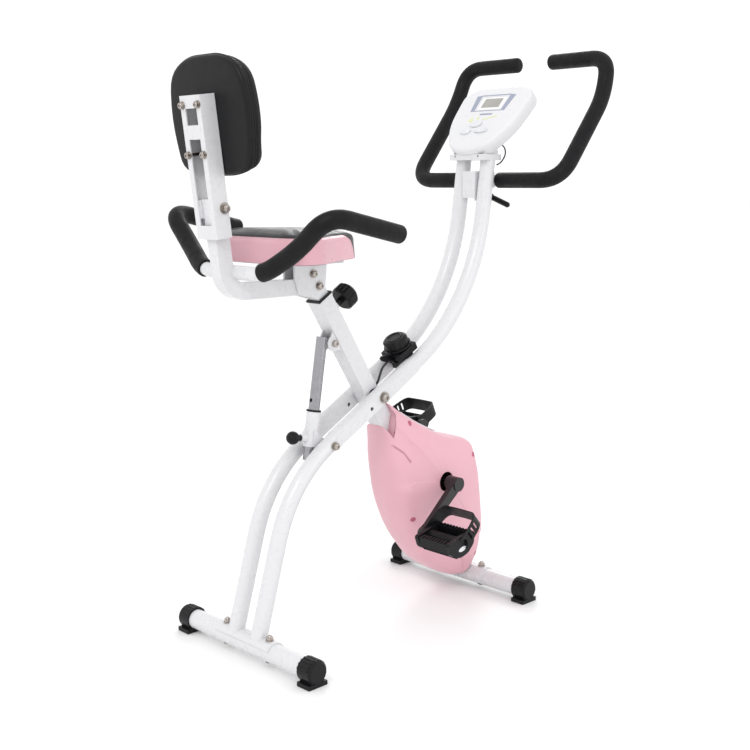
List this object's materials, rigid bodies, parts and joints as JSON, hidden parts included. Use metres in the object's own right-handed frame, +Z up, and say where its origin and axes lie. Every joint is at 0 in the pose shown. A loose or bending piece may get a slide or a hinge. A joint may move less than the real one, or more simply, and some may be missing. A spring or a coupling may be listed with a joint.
{
  "type": "folding exercise bike",
  "caption": "Folding upright exercise bike with crossed frames, padded seat and backrest, side grips, loop handlebar, console and enclosed magnetic flywheel drive.",
  "frame": {"origin": "on the floor, below the middle of the bike's overall box", "axes": "+X forward, the way the rider faces; +Y to the rider's left; +Z up"},
  "size_m": [0.9622, 0.4952, 1.1654],
  "materials": {
    "white_paint": "gloss powder coat",
    "black_plastic": "satin",
    "pink_plastic": "satin moulding",
    "grey_plastic": "satin",
    "white_plastic": "fine texture",
    "display_glass": "grey display window",
    "bright_steel": "zinc and chrome plate",
    "black_steel": "gloss black",
    "cast_iron": "machined",
    "foam": "closed-cell foam",
    "strap_rubber": "smooth",
    "pink_vinyl": "stitched vinyl",
    "black_vinyl": "stitched vinyl"
  },
  "bodies": {
    "main_frame": {"main_tube": "white_paint", "seat_collar": "black_plastic", "crank_shell": "white_paint", "crank_bearings": "bright_steel", "flywheel_axle": "bright_steel", "front_saddle": "white_paint", "front_stabilizer": "white_paint", "front_caps": "black_plastic", "main_frame_bolts": "bright_steel", "right_housing": "pink_plastic", "left_housing": "pink_plastic", "housing_trim": "grey_plastic", "drive_belt": "strap_rubber", "pivot_bushes": "black_plastic"},
    "seat_lock": {"seat_pin": "black_plastic"},
    "seat": {"seat_post": "white_paint", "seat_pan": "black_plastic", "seat_pad": "pink_vinyl", "back_frame": "white_paint", "seat_bolts": "bright_steel", "side_bar": "white_paint", "side_grips": "foam"},
    "backrest": {"back_bracket": "white_paint", "back_shell": "black_plastic", "back_cushion": "black_vinyl", "back_bolts": "bright_steel"},
    "crank": {"crank_axle": "bright_steel", "right_crank": "black_steel", "left_crank": "black_steel", "drive_pulley": "black_plastic"},
    "pedal_right": {"right_pedal": "black_plastic", "right_strap": "strap_rubber"},
    "pedal_left": {"left_pedal": "black_plastic", "left_strap": "strap_rubber"},
    "flywheel": {"flywheel": "cast_iron"},
    "magnet": {"magnet_arm": "black_steel"},
    "twin_frame": {"right_twin_tube": "white_paint", "left_twin_tube": "white_paint", "rear_saddle": "white_paint", "rear_stabilizer": "white_paint", "rear_caps": "black_plastic", "twin_frame_bolts": "bright_steel", "bar_clamp": "white_paint", "knob_base": "black_plastic", "console_bracket": "white_paint", "console_back": "white_plastic", "console_front": "white_plastic", "console_lens": "display_glass", "console_cable": "strap_rubber", "brake_cable": "strap_rubber"},
    "bars": {"handlebar": "white_paint", "bar_grips": "foam"},
    "clamp_lever": {"clamp_lever": "black_plastic"},
    "tension_knob": {"tension_knob": "black_plastic"},
    "strut_sleeve": {"strut_sleeve": "white_paint"},
    "strut_rod": {"strut_rod": "bright_steel"},
    "strut_pin": {"strut_pin": "black_plastic"},
    "mode_button": {"mode_button": "grey_plastic"},
    "set_button": {"set_button": "grey_plastic"},
    "reset_button": {"reset_button": "grey_plastic"}
  },
  "joints": [
    {"name": "fold", "type": "hinge", "parent": "main_frame", "child": "twin_frame", "pos_m": [-0.0567, 0, 0.4637], "axis": [0, -1, 0], "range_deg": [0, 45]},
    {"name": "strut_rod_swing", "type": "hinge", "parent": "main_frame", "child": "strut_rod", "pos_m": [-0.16141, 0, 0.57981], "axis": [0, -1, 0], "range_deg": [0, 22.5]},
    {"name": "strut_sleeve_swing", "type": "hinge", "parent": "twin_frame", "child": "strut_sleeve", "pos_m": [-0.19278, 0, 0.38671], "axis": [0, -1, 0], "range_deg": [-22.5, 0]},
    {"name": "strut_pin_pull", "type": "slide", "parent": "strut_sleeve", "child": "strut_pin", "axis": [-0.9871, 0, 0.1604], "range_m": [0, 0.01], "stiffness_N_per_m": 600, "springref_m": -0.004},
    {"name": "seat_height", "type": "slide", "parent": "main_frame", "child": "seat", "axis": [-0.5314, 0, 0.8471], "range_m": [0, 0.12]},
    {"name": "seat_pin_pull", "type": "slide", "parent": "main_frame", "child": "seat_lock", "axis": [0.8471, 0, 0.5314], "range_m": [0, 0.012], "stiffness_N_per_m": 800, "springref_m": -0.004},
    {"name": "backrest_height", "type": "slide", "parent": "seat", "child": "backrest", "axis": [-0.1305, 0, 0.9914], "range_m": [-0.03, 0]},
    {"name": "crank_turn", "type": "hinge", "parent": "main_frame", "child": "crank", "pos_m": [0.1076, 0, 0.265], "axis": [0, 1, 0], "continuous": true},
    {"name": "right_pedal_turn", "type": "hinge", "parent": "crank", "child": "pedal_right", "pos_m": [0.00725, -0.156, 0.1808], "axis": [0, 1, 0], "continuous": true},
    {"name": "left_pedal_turn", "type": "hinge", "parent": "crank", "child": "pedal_left", "pos_m": [0.20795, 0.156, 0.3492], "axis": [0, 1, 0], "continuous": true},
    {"name": "flywheel_turn", "type": "hinge", "parent": "main_frame", "child": "flywheel", "pos_m": [0.13992, 0.032, 0.15027], "axis": [0, 1, 0], "continuous": true},
    {"name": "tension_knob_turn", "type": "hinge", "parent": "twin_frame", "child": "tension_knob", "pos_m": [0.04687, 0, 0.5223], "axis": [-0.4924, 0, 0.8704], "range_deg": [0, 270]},
    {"name": "magnet_arm_swing", "type": "hinge", "parent": "main_frame", "child": "magnet", "pos_m": [0.09209, 0.032, 0.22651], "axis": [0, 1, 0], "range_deg": [0, 7]},
    {"name": "handlebar_tilt", "type": "hinge", "parent": "twin_frame", "child": "bars", "pos_m": [0.2956, 0, 0.892], "axis": [0, 1, 0], "range_deg": [-25, 25]},
    {"name": "clamp_lever_turn", "type": "hinge", "parent": "twin_frame", "child": "clamp_lever", "pos_m": [0.3206, 0, 0.856], "axis": [1, 0, 0], "range_deg": [0, 270]},
    {"name": "mode_button_press", "type": "slide", "parent": "twin_frame", "child": "mode_button", "axis": [0.7314, 0, -0.682], "range_m": [0, 0.0015], "stiffness_N_per_m": 300, "springref_m": -0.001},
    {"name": "set_button_press", "type": "slide", "parent": "twin_frame", "child": "set_button", "axis": [0.7314, 0, -0.682], "range_m": [0, 0.0015], "stiffness_N_per_m": 300, "springref_m": -0.001},
    {"name": "reset_button_press", "type": "slide", "parent": "twin_frame", "child": "reset_button", "axis": [0.7314, 0, -0.682], "range_m": [0, 0.0015], "stiffness_N_per_m": 300, "springref_m": -0.001}
  ],
  "couplings": [
    {"joint": "strut_rod_swing", "follows": "fold", "ratio": 0.5},
    {"joint": "strut_sleeve_swing", "follows": "fold", "ratio": -0.5},
    {"joint": "flywheel_turn", "follows": "crank_turn", "ratio": 5.3333},
    {"joint": "magnet_arm_swing", "follows": "tension_knob_turn", "ratio": 0.025926}
  ]
}
